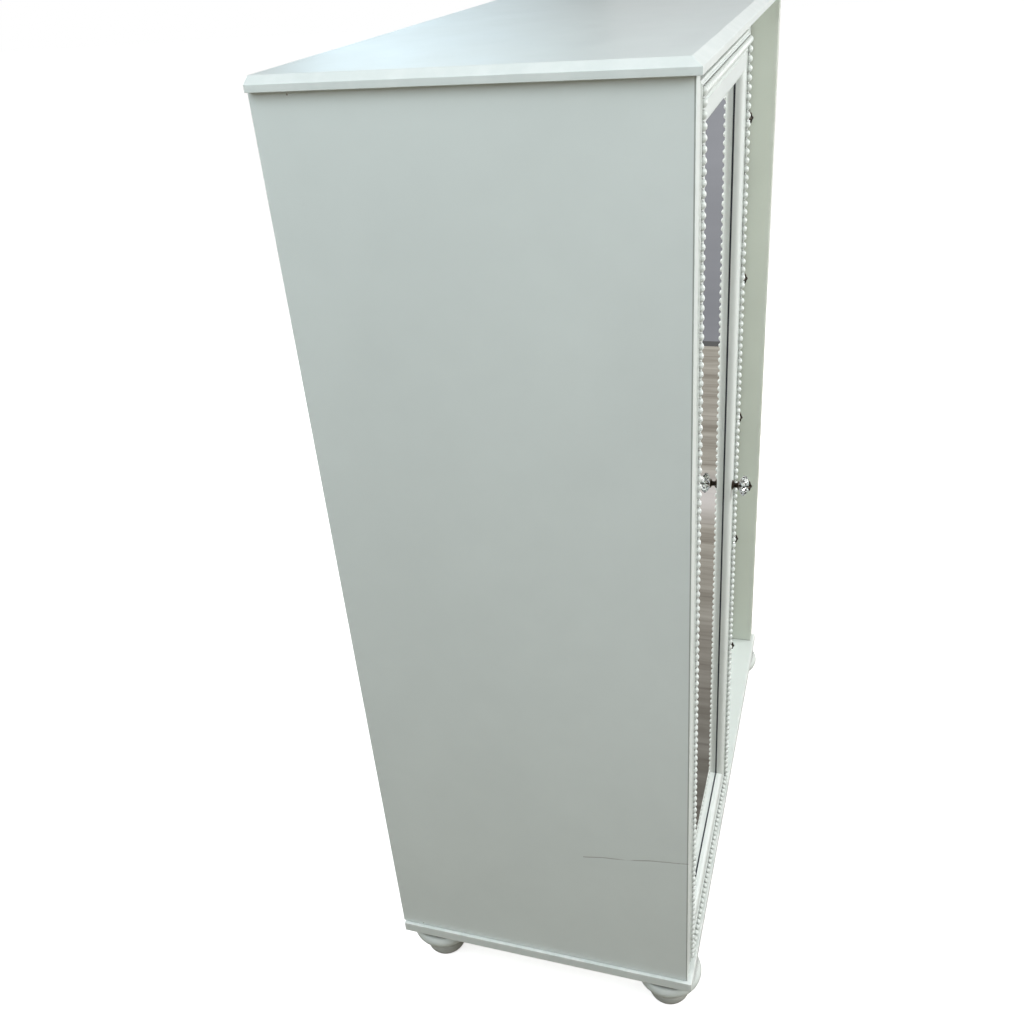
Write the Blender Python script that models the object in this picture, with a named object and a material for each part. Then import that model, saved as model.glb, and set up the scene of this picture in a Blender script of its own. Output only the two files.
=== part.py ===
"""Jewelry armoire: a tall painted cabinet on four turned bun feet.

The left half closes with a framed mirror door, edged with beading and hung on
pivot pins. The right half holds a stack of five drawers, set back behind the
front edges of the cabinet. Metres, +Z up, front towards -Y, origin on the
floor under the middle of the whole object.
"""
import math

import bmesh
import bpy

# ---- driving dimensions, metres ----
WIDTH = 0.776            # across the outer faces of the side panels
DEPTH = 0.406            # side panels, front edge to back edge
PANEL_HEIGHT = 1.117     # side panels
BOARD = 0.019            # thickness of side panels and centre divider
GAP = 0.0003             # clearance between pieces that touch

FOOT_HEIGHT = 0.0645
FOOT_INSET_X = 0.038     # foot centre from the outer face of a side panel
FOOT_INSET_FRONT = 0.0305
FOOT_INSET_BACK = 0.0437
BUN_RADIUS = 0.0437
BUN_ROUND = 0.0161       # radius of the bun's rounded rim
ANKLE_RADIUS = 0.0280    # the smaller ball under the bun
ANKLE_ROUND = 0.0138

BASE_THICKNESS = 0.0152
BASE_OVERHANG_SIDE = 0.0047
BASE_OVERHANG_FRONT = 0.0063
TOP_OVERHANG_SIDE = 0.0084
TOP_OVERHANG_FRONT = 0.0061
TOP_BAND = 0.0069        # upright edge of the top board
TOP_BEVEL_RISE = 0.0067
TOP_BEVEL_INSET = 0.0105
BACK_REVEAL = 0.0020     # top and base boards stop short of the panels' back edges

DOOR_WIDTH = 0.3637
DOOR_BOTTOM_CLEAR = 0.0020
DOOR_HEIGHT = 1.1070
DOOR_FRAME = 0.0413      # width of stiles and rails
DOOR_DEPTH = 0.0200      # back of the door, behind the cabinet's front plane
OUTER_REED = 0.0013      # radii of the two fine reeds round the frame's edge
INNER_REED = 0.0012
OUTER_REED_DEPTH = 0.0015    # reed centres, behind the front plane
INNER_REED_DEPTH = 0.0005
BAND_DEPTH = 0.0010      # flat band of the frame, behind the front plane
INNER_ROUND = 0.0060     # rounded edge beside the mirror
LIP_DEPTH = 0.0097       # back of the frame's inner lip
LIP = 0.0060             # how far the lip covers the mirror
BEAD_RADIUS = 0.0040
BEAD_INSET = 0.0090      # line of beading, from the frame's outer edge
BEAD_CENTRE = -0.0003    # just in front of the front plane
MITRE_GAP = 0.0002
MIRROR_THICKNESS = 0.0040
BACKING_THICKNESS = 0.0030
PIVOT_INSET = 0.0140     # hinge axis from the door's outer edge
PIVOT_DEPTH = 0.0105     # hinge axis behind the front plane
PIN_RADIUS = 0.0030
PIN_HOLE_RADIUS = 0.0034

KNOB_REACH = 0.0260
KNOB_INSET = 0.0310      # door knob from the door's free edge

DRAWERS = 5
DRAWER_PITCH = 0.2150
DRAWER_FIRST = 0.1242    # centre of the lowest front above the base board
FRONT_HEIGHT = 0.2120
FRONT_THICKNESS = 0.0180
FRONT_SETBACK = 0.0380   # drawer fronts behind the cabinet's front plane
FRONT_SIDE_GAP = 0.0015
BOX_SIDE_GAP = 0.0030
BOX_DEPTH = 0.3350
BOX_HEIGHT = 0.1500
BOX_WALL = 0.0100
BOX_FLOOR = 0.0060
DUST_BOARD = 0.0090
RAIL_CLEAR = 0.0030      # between a bay rail and the drawer front beside it

DIVIDER_SETBACK = 0.0220
BACK_THICKNESS = 0.0050
SHELF_THICKNESS = 0.0150
SHELF_SETBACK = 0.0300
SHELVES = (("shelf_lower", 0.240), ("shelf_upper", 0.470))
LINER_THICKNESS = 0.0016
HOOKS = 7
HOOK_BAR_DROP = 0.0550   # below the top board
ARC_STEP = math.radians(22.5)

# ---- derived places ----
HALF = WIDTH / 2
BASE_BOTTOM = FOOT_HEIGHT + GAP
BASE_TOP = BASE_BOTTOM + BASE_THICKNESS
PANEL_BOTTOM = BASE_TOP + GAP
PANEL_TOP = PANEL_BOTTOM + PANEL_HEIGHT
TOP_BOTTOM = PANEL_TOP + GAP
KNOB_BASE = BAND_DEPTH - GAP
FRONT = -(DEPTH + KNOB_BASE - KNOB_REACH) / 2
BACK = FRONT + DEPTH
BACK_FACE = BACK - 0.0030
BACK_PANEL_FRONT = BACK_FACE - BACK_THICKNESS
BAY_LEFT = 0.0
BAY_RIGHT = HALF - BOARD
BAY_CENTRE = (BAY_LEFT + BAY_RIGHT) / 2
NICHE_LEFT = -HALF + BOARD
NICHE_RIGHT = BAY_LEFT - BOARD
DOOR_RIGHT = BAY_LEFT - GAP
DOOR_LEFT = DOOR_RIGHT - DOOR_WIDTH
DOOR_BOTTOM = BASE_TOP + DOOR_BOTTOM_CLEAR
DOOR_TOP = DOOR_BOTTOM + DOOR_HEIGHT
HINGE_X = DOOR_LEFT + PIVOT_INSET
HINGE_Y = FRONT + PIVOT_DEPTH
FRONT_FACE = FRONT + FRONT_SETBACK
FRONT_BACK = FRONT_FACE + FRONT_THICKNESS


# ---- scene, materials and mesh helpers ----
def clear_scene():
    for thing in list(bpy.data.objects):
        bpy.data.objects.remove(thing, do_unlink=True)


def material(name, colour, roughness, metallic=0.0, transmission=0.0):
    """One Principled material of a plain colour."""
    made = bpy.data.materials.new(name)
    made.use_nodes = True
    shader = made.node_tree.nodes["Principled BSDF"]
    shader.inputs["Base Color"].default_value = (*colour, 1.0)
    shader.inputs["Roughness"].default_value = roughness
    shader.inputs["Metallic"].default_value = metallic
    shader.inputs["Transmission Weight"].default_value = transmission
    return made


def place(name, bm, origin, look, parent=None, smooth=False):
    """Turn a bmesh in world coordinates into an object whose origin is given."""
    bmesh.ops.translate(bm, verts=bm.verts, vec=[-value for value in origin])
    bmesh.ops.recalc_face_normals(bm, faces=bm.faces)
    mesh = bpy.data.meshes.new(name)
    bm.to_mesh(mesh)
    bm.free()
    if smooth:
        mesh.shade_smooth()
        mesh.set_sharp_from_angle(angle=math.radians(40))
    mesh.materials.append(look)
    piece = bpy.data.objects.new(name, mesh)
    bpy.context.collection.objects.link(piece)
    if parent is not None:
        piece.parent = parent
        piece.location = [value - base for value, base in zip(origin, parent.location)]
    else:
        piece.location = origin
    return piece


def axis_empty(name, origin):
    """An empty on a joint's axis, which the moving piece hangs from."""
    empty = bpy.data.objects.new(name, None)
    bpy.context.collection.objects.link(empty)
    empty.location = origin
    return empty


def centre(low, high):
    return [(a + b) / 2 for a, b in zip(low, high)]


def box_mesh(low, high):
    """A closed box between two corners."""
    bm = bmesh.new()
    bmesh.ops.create_cube(bm, size=1.0)
    middle = centre(low, high)
    for vert in bm.verts:
        vert.co = [m + v * (b - a) for m, v, a, b in zip(middle, vert.co, low, high)]
    return bm


def round_edges(piece, width):
    """Break a board's sharp edges with a small flat bevel."""
    bevel = piece.modifiers.new("edges", "BEVEL")
    bevel.width = width
    bevel.segments = 1
    bevel.limit_method = "ANGLE"
    return piece


def board(name, low, high, look, parent=None, edge=0.0008):
    """A flat board, its edges lightly broken."""
    piece = place(name, box_mesh(low, high), centre(low, high), look, parent)
    if edge:
        round_edges(piece, edge)
    return piece


def arc(centre_a, centre_b, radius, start, end, step=ARC_STEP):
    """Points of an arc in a profile's plane, both ends included, angles in degrees."""
    start, end = math.radians(start), math.radians(end)
    count = max(2, round(abs(end - start) / step))
    angles = [start + (end - start) * i / count for i in range(count + 1)]
    return [(centre_a + radius * math.cos(a), centre_b + radius * math.sin(a)) for a in angles]


def turned_mesh(profile, segments, to_world, closed=False):
    """Sweep a (radius, height) profile round its axis.

    A point of no radius closes the end on the axis; a closed profile makes a ring.
    """
    bm = bmesh.new()
    rings = []
    for radius, height in profile:
        if radius < 1e-9:
            rings.append([bm.verts.new(to_world(0.0, 0.0, height))])
            continue
        turns = [2 * math.pi * i / segments for i in range(segments)]
        rings.append([bm.verts.new(to_world(radius * math.cos(t), radius * math.sin(t), height))
                      for t in turns])
    pairs = list(zip(rings, rings[1:]))
    if closed:
        pairs.append((rings[-1], rings[0]))
    for lower, upper in pairs:
        for i in range(segments):
            j = (i + 1) % segments
            corners = [lower[i % len(lower)], lower[j % len(lower)],
                       upper[j % len(upper)], upper[i % len(upper)]]
            bm.faces.new(list(dict.fromkeys(corners)))
    if not closed:
        for end in (rings[0], rings[-1]):
            if len(end) > 1:
                bm.faces.new(end)
    return bm


def upright(x, y):
    """Map a turned profile onto a vertical axis through (x, y)."""
    return lambda a, b, height: (x + a, y + b, height)


def forward(x, y, z):
    """Map a turned profile onto an axis that runs towards -Y from (x, y, z)."""
    return lambda a, b, height: (x + a, y - height, z + b)


def cut_hole(piece, name, x, y, low, high, radius, sides=16):
    """Bore a round vertical hole with a Boolean whose cutter stays hidden."""
    profile = [(radius, low), (radius, high)]
    cutter = place(name, turned_mesh(profile, sides, upright(x, y)), (x, y, low), HIDDEN)
    cutter.hide_render = True
    cutter.display_type = "WIRE"
    cut = piece.modifiers.new(name, "BOOLEAN")
    cut.operation = "DIFFERENCE"
    cut.solver = "EXACT"
    cut.object = cutter


# ---- cabinet ----
def foot_profile():
    """A bun with a rounded rim over a smaller rounded ankle, bottom to top."""
    flat_angle = -64.0
    ankle_middle = -ANKLE_ROUND * math.sin(math.radians(flat_angle))
    ankle = arc(ANKLE_RADIUS - ANKLE_ROUND, ankle_middle, ANKLE_ROUND, flat_angle, 55)
    rim = arc(BUN_RADIUS - BUN_ROUND, FOOT_HEIGHT - BUN_ROUND, BUN_ROUND, -80, 90)
    neck = (ankle[-1][0], rim[0][1])
    return ankle + [neck] + rim


def make_feet():
    profile = foot_profile()
    for side, x in (("left", -HALF + FOOT_INSET_X), ("right", HALF - FOOT_INSET_X)):
        for end, y in (("front", FRONT + FOOT_INSET_FRONT), ("back", BACK - FOOT_INSET_BACK)):
            mesh = turned_mesh(profile, 24, upright(x, y))
            place(f"foot_{end}_{side}", mesh, (x, y, 0.0), PAINT, smooth=True)


def make_top():
    """Top board: upright edge, then a bevel on the front and both sides."""
    x = HALF + TOP_OVERHANG_SIDE
    front = FRONT - TOP_OVERHANG_FRONT
    back = BACK - BACK_REVEAL
    inset = TOP_BEVEL_INSET
    band_top = TOP_BOTTOM + TOP_BAND
    crown = band_top + TOP_BEVEL_RISE
    layers = (
        [(-x, front, TOP_BOTTOM), (x, front, TOP_BOTTOM), (x, back, TOP_BOTTOM), (-x, back, TOP_BOTTOM)],
        [(-x, front, band_top), (x, front, band_top), (x, back, band_top), (-x, back, band_top)],
        [(-x + inset, front + inset, crown), (x - inset, front + inset, crown),
         (x - inset, back, crown), (-x + inset, back, crown)],
    )
    bm = bmesh.new()
    rows = [[bm.verts.new(point) for point in layer] for layer in layers]
    bm.faces.new(rows[0])
    bm.faces.new(rows[-1])
    for lower, upper in zip(rows, rows[1:]):
        for i in range(4):
            j = (i + 1) % 4
            bm.faces.new((lower[i], lower[j], upper[j], upper[i]))
    return place("top_board", bm, (0.0, (front + back) / 2, TOP_BOTTOM), PAINT)


def make_carcass():
    top = make_top()
    base_low = (-HALF - BASE_OVERHANG_SIDE, FRONT - BASE_OVERHANG_FRONT, BASE_BOTTOM)
    base_high = (HALF + BASE_OVERHANG_SIDE, BACK - BACK_REVEAL, BASE_TOP)
    base = board("base_board", base_low, base_high, PAINT)
    board("side_panel_left", (-HALF, FRONT, PANEL_BOTTOM), (NICHE_LEFT, BACK, PANEL_TOP), PAINT)
    board("side_panel_right", (BAY_RIGHT, FRONT, PANEL_BOTTOM), (HALF, BACK, PANEL_TOP), PAINT)
    board("back_panel", (NICHE_LEFT + GAP, BACK_PANEL_FRONT, PANEL_BOTTOM),
          (BAY_RIGHT - GAP, BACK_FACE, PANEL_TOP), PAINT, edge=0)
    board("centre_divider", (NICHE_RIGHT, FRONT + DIVIDER_SETBACK, PANEL_BOTTOM),
          (BAY_LEFT, BACK_PANEL_FRONT - GAP, PANEL_TOP), PAINT)
    bottom_front = BASE_TOP + DRAWER_FIRST - FRONT_HEIGHT / 2
    top_front = BASE_TOP + DRAWER_FIRST + (DRAWERS - 1) * DRAWER_PITCH + FRONT_HEIGHT / 2
    for name, low, high in (("bay_bottom_rail", PANEL_BOTTOM, bottom_front - RAIL_CLEAR),
                            ("bay_top_rail", top_front + RAIL_CLEAR, PANEL_TOP)):
        board(name, (BAY_LEFT + GAP, FRONT_FACE, low), (BAY_RIGHT - GAP, FRONT_BACK, high), PAINT)
    for level in range(DRAWERS):
        bottom = drawer_front_bottom(level) + 0.001
        low = (BAY_LEFT + GAP, FRONT_BACK + 0.001, bottom)
        high = (BAY_RIGHT - GAP, BACK_PANEL_FRONT - GAP, bottom + DUST_BOARD)
        board(f"dust_board_{level + 1}", low, high, TIMBER, edge=0)
    return top, base


def make_left_side_fittings():
    """Shelves with felt-faced liners, and the bar of necklace hooks."""
    for name, height in SHELVES:
        low = (NICHE_LEFT + GAP, FRONT + SHELF_SETBACK, BASE_TOP + height)
        high = (NICHE_RIGHT - GAP, BACK_PANEL_FRONT - GAP, BASE_TOP + height + SHELF_THICKNESS)
        board(name, low, high, PAINT)
        liner_low = (low[0] + 0.003, low[1] + 0.006, high[2] + GAP)
        liner_high = (high[0] - 0.003, high[1] - 0.003, high[2] + GAP + LINER_THICKNESS)
        board(name.replace("shelf", "shelf_liner"), liner_low, liner_high, LINING, edge=0)
    make_hook_bar()


def make_hook_bar():
    """One bar on the back panel with a row of upturned pegs, in one piece."""
    bar_left = NICHE_LEFT + 0.015
    bar_right = NICHE_RIGHT - 0.015
    bar_height = 0.022
    bar_top = PANEL_TOP - HOOK_BAR_DROP
    bar_back = BACK_PANEL_FRONT - GAP
    bar_front = bar_back - 0.008
    low = (bar_left, bar_front, bar_top - bar_height)
    bar = board("necklace_hook_bar", low, (bar_right, bar_back, bar_top), HOOK_METAL, edge=0)
    pegs = bmesh.new()
    pitch = (bar_right - bar_left) / HOOKS
    reach = 0.032
    radius = 0.0026
    for index in range(HOOKS):
        x = bar_left + pitch * (index + 0.5)
        z = bar_top - bar_height * 0.55
        profile = [(radius, -0.004), (radius, reach), (radius * 2, reach + 0.0010),
                   (radius * 2, reach + 0.0040), (radius, reach + 0.0055)]
        peg = turned_mesh(profile, 10, forward(x, bar_front, z))
        bmesh.ops.recalc_face_normals(peg, faces=peg.faces)
        spare = bpy.data.meshes.new("peg")
        peg.to_mesh(spare)
        peg.free()
        pegs.from_mesh(spare)
        bpy.data.meshes.remove(spare)
    group = place("peg_group", pegs, (bar_left, bar_front, bar_top), HIDDEN)
    group.hide_render = True
    group.display_type = "WIRE"
    join = bar.modifiers.new("pegs", "BOOLEAN")
    join.operation = "UNION"
    join.solver = "EXACT"
    join.object = group


# ---- door ----
def frame_profile():
    """Section of a door frame member: (inset from outer edge, depth behind the front plane).

    Two fine reeds, seat of the beading, arris and groove, flat band, rounded
    inner edge, then the lip and rebate that hold the mirror.
    """
    reed_step = math.radians(36)
    outer = arc(OUTER_REED, OUTER_REED_DEPTH, OUTER_REED, -180, -30, reed_step)
    reed_middle = 2 * OUTER_REED + INNER_REED - 0.0001
    seat_angle = math.degrees(math.asin((BAND_DEPTH - INNER_REED_DEPTH) / INNER_REED))
    inner = arc(reed_middle, INNER_REED_DEPTH, INNER_REED, -195, seat_angle, reed_step)
    arris = [(0.0170, BAND_DEPTH), (0.0173, BAND_DEPTH + 0.0006), (0.0177, BAND_DEPTH - 0.0007),
             (0.0187, BAND_DEPTH - 0.0007), (0.0193, BAND_DEPTH + 0.0008),
             (0.0204, BAND_DEPTH + 0.0008), (0.0208, BAND_DEPTH)]
    lip = arc(DOOR_FRAME - INNER_ROUND, BAND_DEPTH + INNER_ROUND, INNER_ROUND, -90, 0)
    rebate = [(DOOR_FRAME, LIP_DEPTH), (DOOR_FRAME - LIP, LIP_DEPTH), (DOOR_FRAME - LIP, DOOR_DEPTH)]
    return [(0.0, DOOR_DEPTH)] + outer + inner + arris + lip + rebate


def bead_profile():
    """Section of the plain beading bar that sits on the frame's seat."""
    seat = BAND_DEPTH - GAP
    half_angle = math.degrees(math.asin((seat - BEAD_CENTRE) / BEAD_RADIUS))
    return arc(BEAD_INSET, BEAD_CENTRE, BEAD_RADIUS, half_angle, -180 - half_angle, math.radians(30))


def mitred_mesh(profile, side):
    """Run a profile along one side of the door, cut at 45 degrees at both ends."""
    ends = []
    for end in (0, 1):
        ring = []
        for inset, depth in profile:
            reach = inset + MITRE_GAP
            across = {"left": DOOR_LEFT + inset, "right": DOOR_RIGHT - inset,
                      "bottom": DOOR_BOTTOM + inset, "top": DOOR_TOP - inset}[side]
            if side in ("left", "right"):
                along = (DOOR_BOTTOM + reach, DOOR_TOP - reach)[end]
                ring.append((across, FRONT + depth, along))
            else:
                along = (DOOR_LEFT + reach, DOOR_RIGHT - reach)[end]
                ring.append((along, FRONT + depth, across))
        ends.append(ring)
    bm = bmesh.new()
    rows = [[bm.verts.new(point) for point in ring] for ring in ends]
    for row in rows:
        bm.faces.new(row)
    count = len(profile)
    for i in range(count):
        j = (i + 1) % count
        bm.faces.new((rows[0][i], rows[0][j], rows[1][j], rows[1][i]))
    return bm


def make_door(top, base):
    hinge = axis_empty("door_hinge_axis", (HINGE_X, HINGE_Y, DOOR_BOTTOM))
    origin = tuple(hinge.location)
    members = {}
    for side, kind in (("left", "stile"), ("right", "stile"), ("top", "rail"), ("bottom", "rail")):
        name = f"door_{kind}_{side}"
        members[name] = place(name, mitred_mesh(frame_profile(), side), origin, PAINT, hinge)
        place(f"beading_{side}", mitred_mesh(bead_profile(), side), origin, PAINT, hinge, smooth=True)
    inset = DOOR_FRAME - LIP + GAP
    left, right = DOOR_LEFT + inset, DOOR_RIGHT - inset
    low, high = DOOR_BOTTOM + inset, DOOR_TOP - inset
    glass_front = FRONT + LIP_DEPTH + GAP
    glass_back = glass_front + MIRROR_THICKNESS
    board("mirror_glass", (left, glass_front, low), (right, glass_back, high), MIRROR, hinge, edge=0)
    board("mirror_backing", (left, glass_back + GAP, low),
          (right, glass_back + GAP + BACKING_THICKNESS, high), BACKING, hinge, edge=0)
    make_pivots(top, base, members, hinge)
    knob_x = DOOR_RIGHT - KNOB_INSET
    make_knob("door_knob", knob_x, FRONT + KNOB_BASE, (DOOR_BOTTOM + DOOR_TOP) / 2, hinge)


def make_pivots(top, base, members, hinge):
    """A pin through each hanging corner of the door, turning in a plate on the cabinet.

    The mitre crosses the pin, so its bore runs through the rail and on into the stile.
    """
    pin_hold = 0.026
    socket = 0.005
    plate = 0.0012
    ends = (
        ("bottom", DOOR_BOTTOM, BASE_TOP, -1, base),
        ("top", DOOR_TOP, TOP_BOTTOM, 1, top),
    )
    for end, door_end, case_face, way, case in ends:
        foot = case_face + way * socket
        head = door_end - way * pin_hold
        low, high = sorted((foot, head))
        profile = [(0.0, low), (PIN_RADIUS, low), (PIN_RADIUS, high), (0.0, high)]
        mesh = turned_mesh(profile, 16, upright(HINGE_X, HINGE_Y))
        place(f"pivot_pin_{end}", mesh, (HINGE_X, HINGE_Y, low), STEEL, hinge, smooth=True)
        spare = 0.002
        hole = sorted((door_end + way * spare, head - way * 0.0005))
        for member in ("door_stile_left", f"door_rail_{end}"):
            cut_hole(members[member], f"{member}_bore_{end}", HINGE_X, HINGE_Y, *hole, PIN_HOLE_RADIUS)
        pocket = sorted((case_face - way * spare, foot + way * 0.0005))
        cut_hole(case, f"case_bore_{end}", HINGE_X, HINGE_Y, *pocket, PIN_HOLE_RADIUS)
        near, far = sorted((case_face - way * GAP, case_face - way * (GAP + plate)))
        plate_low = (HINGE_X - 0.010, HINGE_Y - 0.0085, near)
        plate_high = (HINGE_X + 0.030, HINGE_Y + 0.0085, far)
        made = board(f"pivot_plate_{end}", plate_low, plate_high, STEEL, edge=0)
        cut_hole(made, f"plate_bore_{end}", HINGE_X, HINGE_Y, near - spare, far + spare, PIN_HOLE_RADIUS)


def make_catch(hinge):
    """Magnet under the upper shelf, against a steel strike plate on the door's back."""
    shelf_bottom = BASE_TOP + SHELVES[1][1]
    right = NICHE_RIGHT - 0.002
    left = right - 0.018
    top = shelf_bottom - GAP
    bottom = top - 0.013
    door_back = FRONT + DOOR_DEPTH
    strike_back = door_back + GAP + 0.0012
    board("magnet_catch", (left, FRONT + SHELF_SETBACK - 0.006, bottom),
          (right, FRONT + SHELF_SETBACK + 0.030, top), CATCH, edge=0.0006)
    board("strike_plate", (left + 0.001, door_back + GAP, bottom + 0.0005),
          (right - 0.001, strike_back, top - 0.0005), STEEL, hinge, edge=0)


# ---- knobs ----
def knob_mount_profile():
    """Rosette, collar, cup, the bolt through the glass and the cap at its tip."""
    return [(0.0, 0.0), (0.0064, 0.0), (0.0064, 0.0012), (0.0050, 0.0026), (0.0034, 0.0032),
            (0.0030, 0.0062), (0.0058, 0.0076), (0.0062, 0.0088), (0.0018, 0.0088),
            (0.0018, 0.0226), (0.0056, 0.0226), (0.0050, 0.0242), (0.0026, 0.0256),
            (0.0, KNOB_REACH)]


def knob_glass_profile():
    """Cut-glass head with a bore for the bolt."""
    bore = 0.0023
    return [(bore, 0.0091), (0.0070, 0.0091), (0.0122, 0.0118), (0.0142, 0.0150),
            (0.0128, 0.0186), (0.0078, 0.0223), (bore, 0.0223)]


def make_knob(name, x, y, z, parent):
    to_world = forward(x, y, z)
    mount = turned_mesh(knob_mount_profile(), 12, to_world)
    place(f"{name}_mount", mount, (x, y, z), BRONZE, parent, smooth=True)
    glass = turned_mesh(knob_glass_profile(), 10, to_world, closed=True)
    place(f"{name}_crystal", glass, (x, y, z), GLASS, parent)


# ---- drawers ----
def drawer_front_bottom(level):
    return BASE_TOP + DRAWER_FIRST + level * DRAWER_PITCH - FRONT_HEIGHT / 2


def drawer_box_mesh(low, high):
    """An open-topped box: the outer block with its inside pushed down from the rim."""
    bm = box_mesh(low, high)
    top = max(bm.faces, key=lambda face: face.calc_center_median().z)
    bmesh.ops.inset_region(bm, faces=[top], thickness=BOX_WALL, use_even_offset=True)
    sunk = bmesh.ops.extrude_discrete_faces(bm, faces=[top])["faces"][0]
    depth = high[2] - low[2] - BOX_FLOOR
    bmesh.ops.translate(bm, verts=sunk.verts, vec=(0, 0, -depth))
    return bm


def make_drawer(level):
    name = f"drawer_{level + 1}"
    bottom = drawer_front_bottom(level)
    height = bottom + FRONT_HEIGHT / 2
    slide = axis_empty(f"{name}_slide_axis", (BAY_CENTRE, FRONT_FACE, height))
    board(f"{name}_front", (BAY_LEFT + FRONT_SIDE_GAP, FRONT_FACE, bottom),
          (BAY_RIGHT - FRONT_SIDE_GAP, FRONT_BACK, bottom + FRONT_HEIGHT), PAINT, slide, edge=0.0015)
    box_bottom = bottom + 0.001 + DUST_BOARD + 2 * GAP
    box_low = (BAY_LEFT + BOX_SIDE_GAP, FRONT_BACK + GAP, box_bottom)
    box_high = (BAY_RIGHT - BOX_SIDE_GAP, FRONT_BACK + GAP + BOX_DEPTH, box_bottom + BOX_HEIGHT)
    place(f"{name}_box", drawer_box_mesh(box_low, box_high), centre(box_low, box_high), TIMBER, slide)
    make_knob(f"{name}_knob", BAY_CENTRE, FRONT_FACE - GAP, height, slide)


def build():
    top, base = make_carcass()
    make_feet()
    make_left_side_fittings()
    make_door(top, base)
    make_catch(bpy.data.objects["door_hinge_axis"])
    for level in range(DRAWERS):
        make_drawer(level)


clear_scene()
PAINT = material("white_paint", (0.72, 0.74, 0.72), 0.38)
TIMBER = material("drawer_timber", (0.62, 0.50, 0.36), 0.60)
MIRROR = material("mirror", (0.90, 0.91, 0.90), 0.02, metallic=1.0)
BACKING = material("mirror_backing", (0.30, 0.22, 0.15), 0.80)
BRONZE = material("dark_bronze", (0.07, 0.06, 0.05), 0.35, metallic=1.0)
GLASS = material("cut_glass", (0.95, 0.97, 0.97), 0.03, transmission=1.0)
STEEL = material("steel", (0.62, 0.62, 0.63), 0.30, metallic=1.0)
HOOK_METAL = material("nickel", (0.70, 0.69, 0.66), 0.25, metallic=1.0)
CATCH = material("catch_plastic", (0.80, 0.80, 0.78), 0.45)
LINING = material("felt_lining", (0.30, 0.29, 0.32), 0.95)
HIDDEN = material("cutter", (0.5, 0.5, 0.5), 0.5)
build()
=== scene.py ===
import math

import bmesh
import bpy
from mathutils import Euler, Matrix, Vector


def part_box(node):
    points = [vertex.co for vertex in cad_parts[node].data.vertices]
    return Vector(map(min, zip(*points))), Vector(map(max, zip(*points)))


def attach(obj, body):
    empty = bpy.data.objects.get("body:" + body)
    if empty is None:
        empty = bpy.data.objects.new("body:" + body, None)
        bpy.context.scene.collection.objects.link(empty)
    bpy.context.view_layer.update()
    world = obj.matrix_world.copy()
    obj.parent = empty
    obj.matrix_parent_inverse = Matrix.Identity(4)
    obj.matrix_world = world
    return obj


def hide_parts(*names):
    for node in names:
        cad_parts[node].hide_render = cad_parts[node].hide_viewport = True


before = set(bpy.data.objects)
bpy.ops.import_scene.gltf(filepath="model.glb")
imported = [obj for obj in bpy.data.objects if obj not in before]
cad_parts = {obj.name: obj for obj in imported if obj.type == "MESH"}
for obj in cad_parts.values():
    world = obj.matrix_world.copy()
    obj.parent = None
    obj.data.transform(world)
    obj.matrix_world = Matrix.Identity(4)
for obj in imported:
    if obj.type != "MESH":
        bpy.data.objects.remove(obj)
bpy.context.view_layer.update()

# Looks of a painted jewelry armoire: satin paint, beaded mirror door, cut-glass
# knobs, timber drawers lined with felt. Metres, in the CAD model's frame.

# ---- sizes taken from the CAD nodes ----
PANEL_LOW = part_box("side_panel_left")[0]
FRONT = PANEL_LOW.y                  # front edges of the side panels
DOOR_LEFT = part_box("door_stile_left")[0].x
DOOR_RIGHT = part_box("door_stile_right")[1].x
DOOR_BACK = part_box("door_stile_left")[1].y
MITRE_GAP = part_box("door_stile_left")[0].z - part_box("door_rail_bottom")[0].z
DOOR_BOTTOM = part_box("door_rail_bottom")[0].z
DOOR_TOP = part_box("door_rail_top")[1].z
FRAME_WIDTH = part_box("door_stile_left")[1].x - DOOR_LEFT
MIRROR_LOW, MIRROR_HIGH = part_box("mirror_glass")

# ---- door frame section: depths are behind the front plane ----
OUTER_REED = 0.0013                  # radii of the two reeds round the frame's edge
INNER_REED = 0.0012
OUTER_REED_DEPTH = 0.0015            # and the depths of their centres
INNER_REED_DEPTH = 0.0005
BAND = 0.0010                        # depth of the flat band that the beads sit on
INNER_ROUND = 0.0060                 # radius of the rounded edge beside the mirror
LIP = 0.0060                         # width of the lip that holds the mirror
LIP_BACK = 0.0097                    # depth of its back

# ---- beading ----
BEAD_RADIUS = 0.0041
BEAD_CENTRE = -0.0003                # depth of a bead's centre
BEAD_INSET = 0.0090                  # from the door's edge to the middle of the beading
BEAD_STEPS = {"left": 117, "right": 110, "bottom": 38, "top": 38}

# ---- painted seam shade and drawers ----
SEAM_SHADE_REACH = 0.0028                  # how far the painted shade of a narrow seam reaches
DRAWERS = range(1, 6)

# ---- studio and camera ----
STUDIO_HALF = 14.0
STUDIO_HEIGHT = 9.0
CAMERA_PLACE = (-1.2761, -0.3238, 1.3181)
CAMERA_TURN = (60.182, 4.387, -72.651)       # degrees
LENS = 36.65                                 # mm, on a 36 mm sensor


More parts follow.
